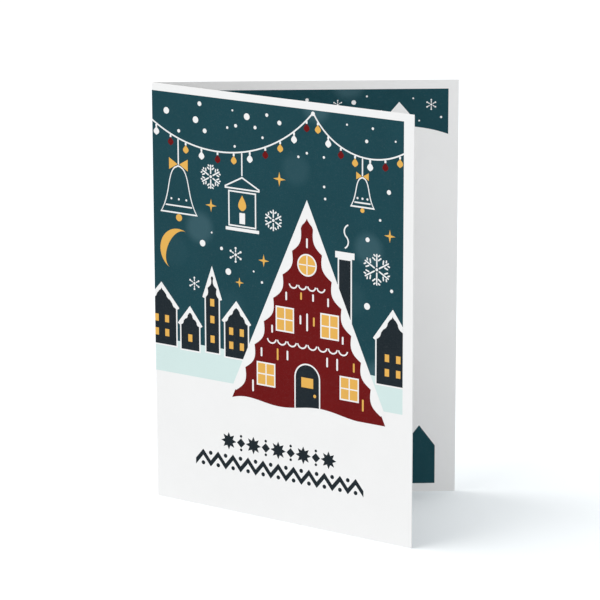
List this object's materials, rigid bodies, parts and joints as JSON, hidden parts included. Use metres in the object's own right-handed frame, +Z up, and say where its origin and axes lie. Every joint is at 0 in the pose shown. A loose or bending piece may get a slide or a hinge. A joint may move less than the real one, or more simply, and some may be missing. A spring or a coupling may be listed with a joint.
{
  "type": "greeting card",
  "caption": "Folded greeting card standing half open on its lower edges, with a plain printed winter scene on the cover.",
  "frame": {"origin": "on the surface that the card stands on, below the middle of its box", "axes": "+Z up along the fold, +X from the fold towards the open edges, -Y on the cover leaf's side"},
  "size_m": [0.1002, 0.0642, 0.148],
  "materials": {
    "board": "uncoated white card",
    "teal_ink": "matt print",
    "mint_ink": "matt print",
    "navy_ink": "matt print",
    "red_ink": "matt print",
    "gold_ink": "matt print",
    "white_ink": "unprinted white"
  },
  "bodies": {
    "root": {"card": "board"}
  },
  "joints": []
}
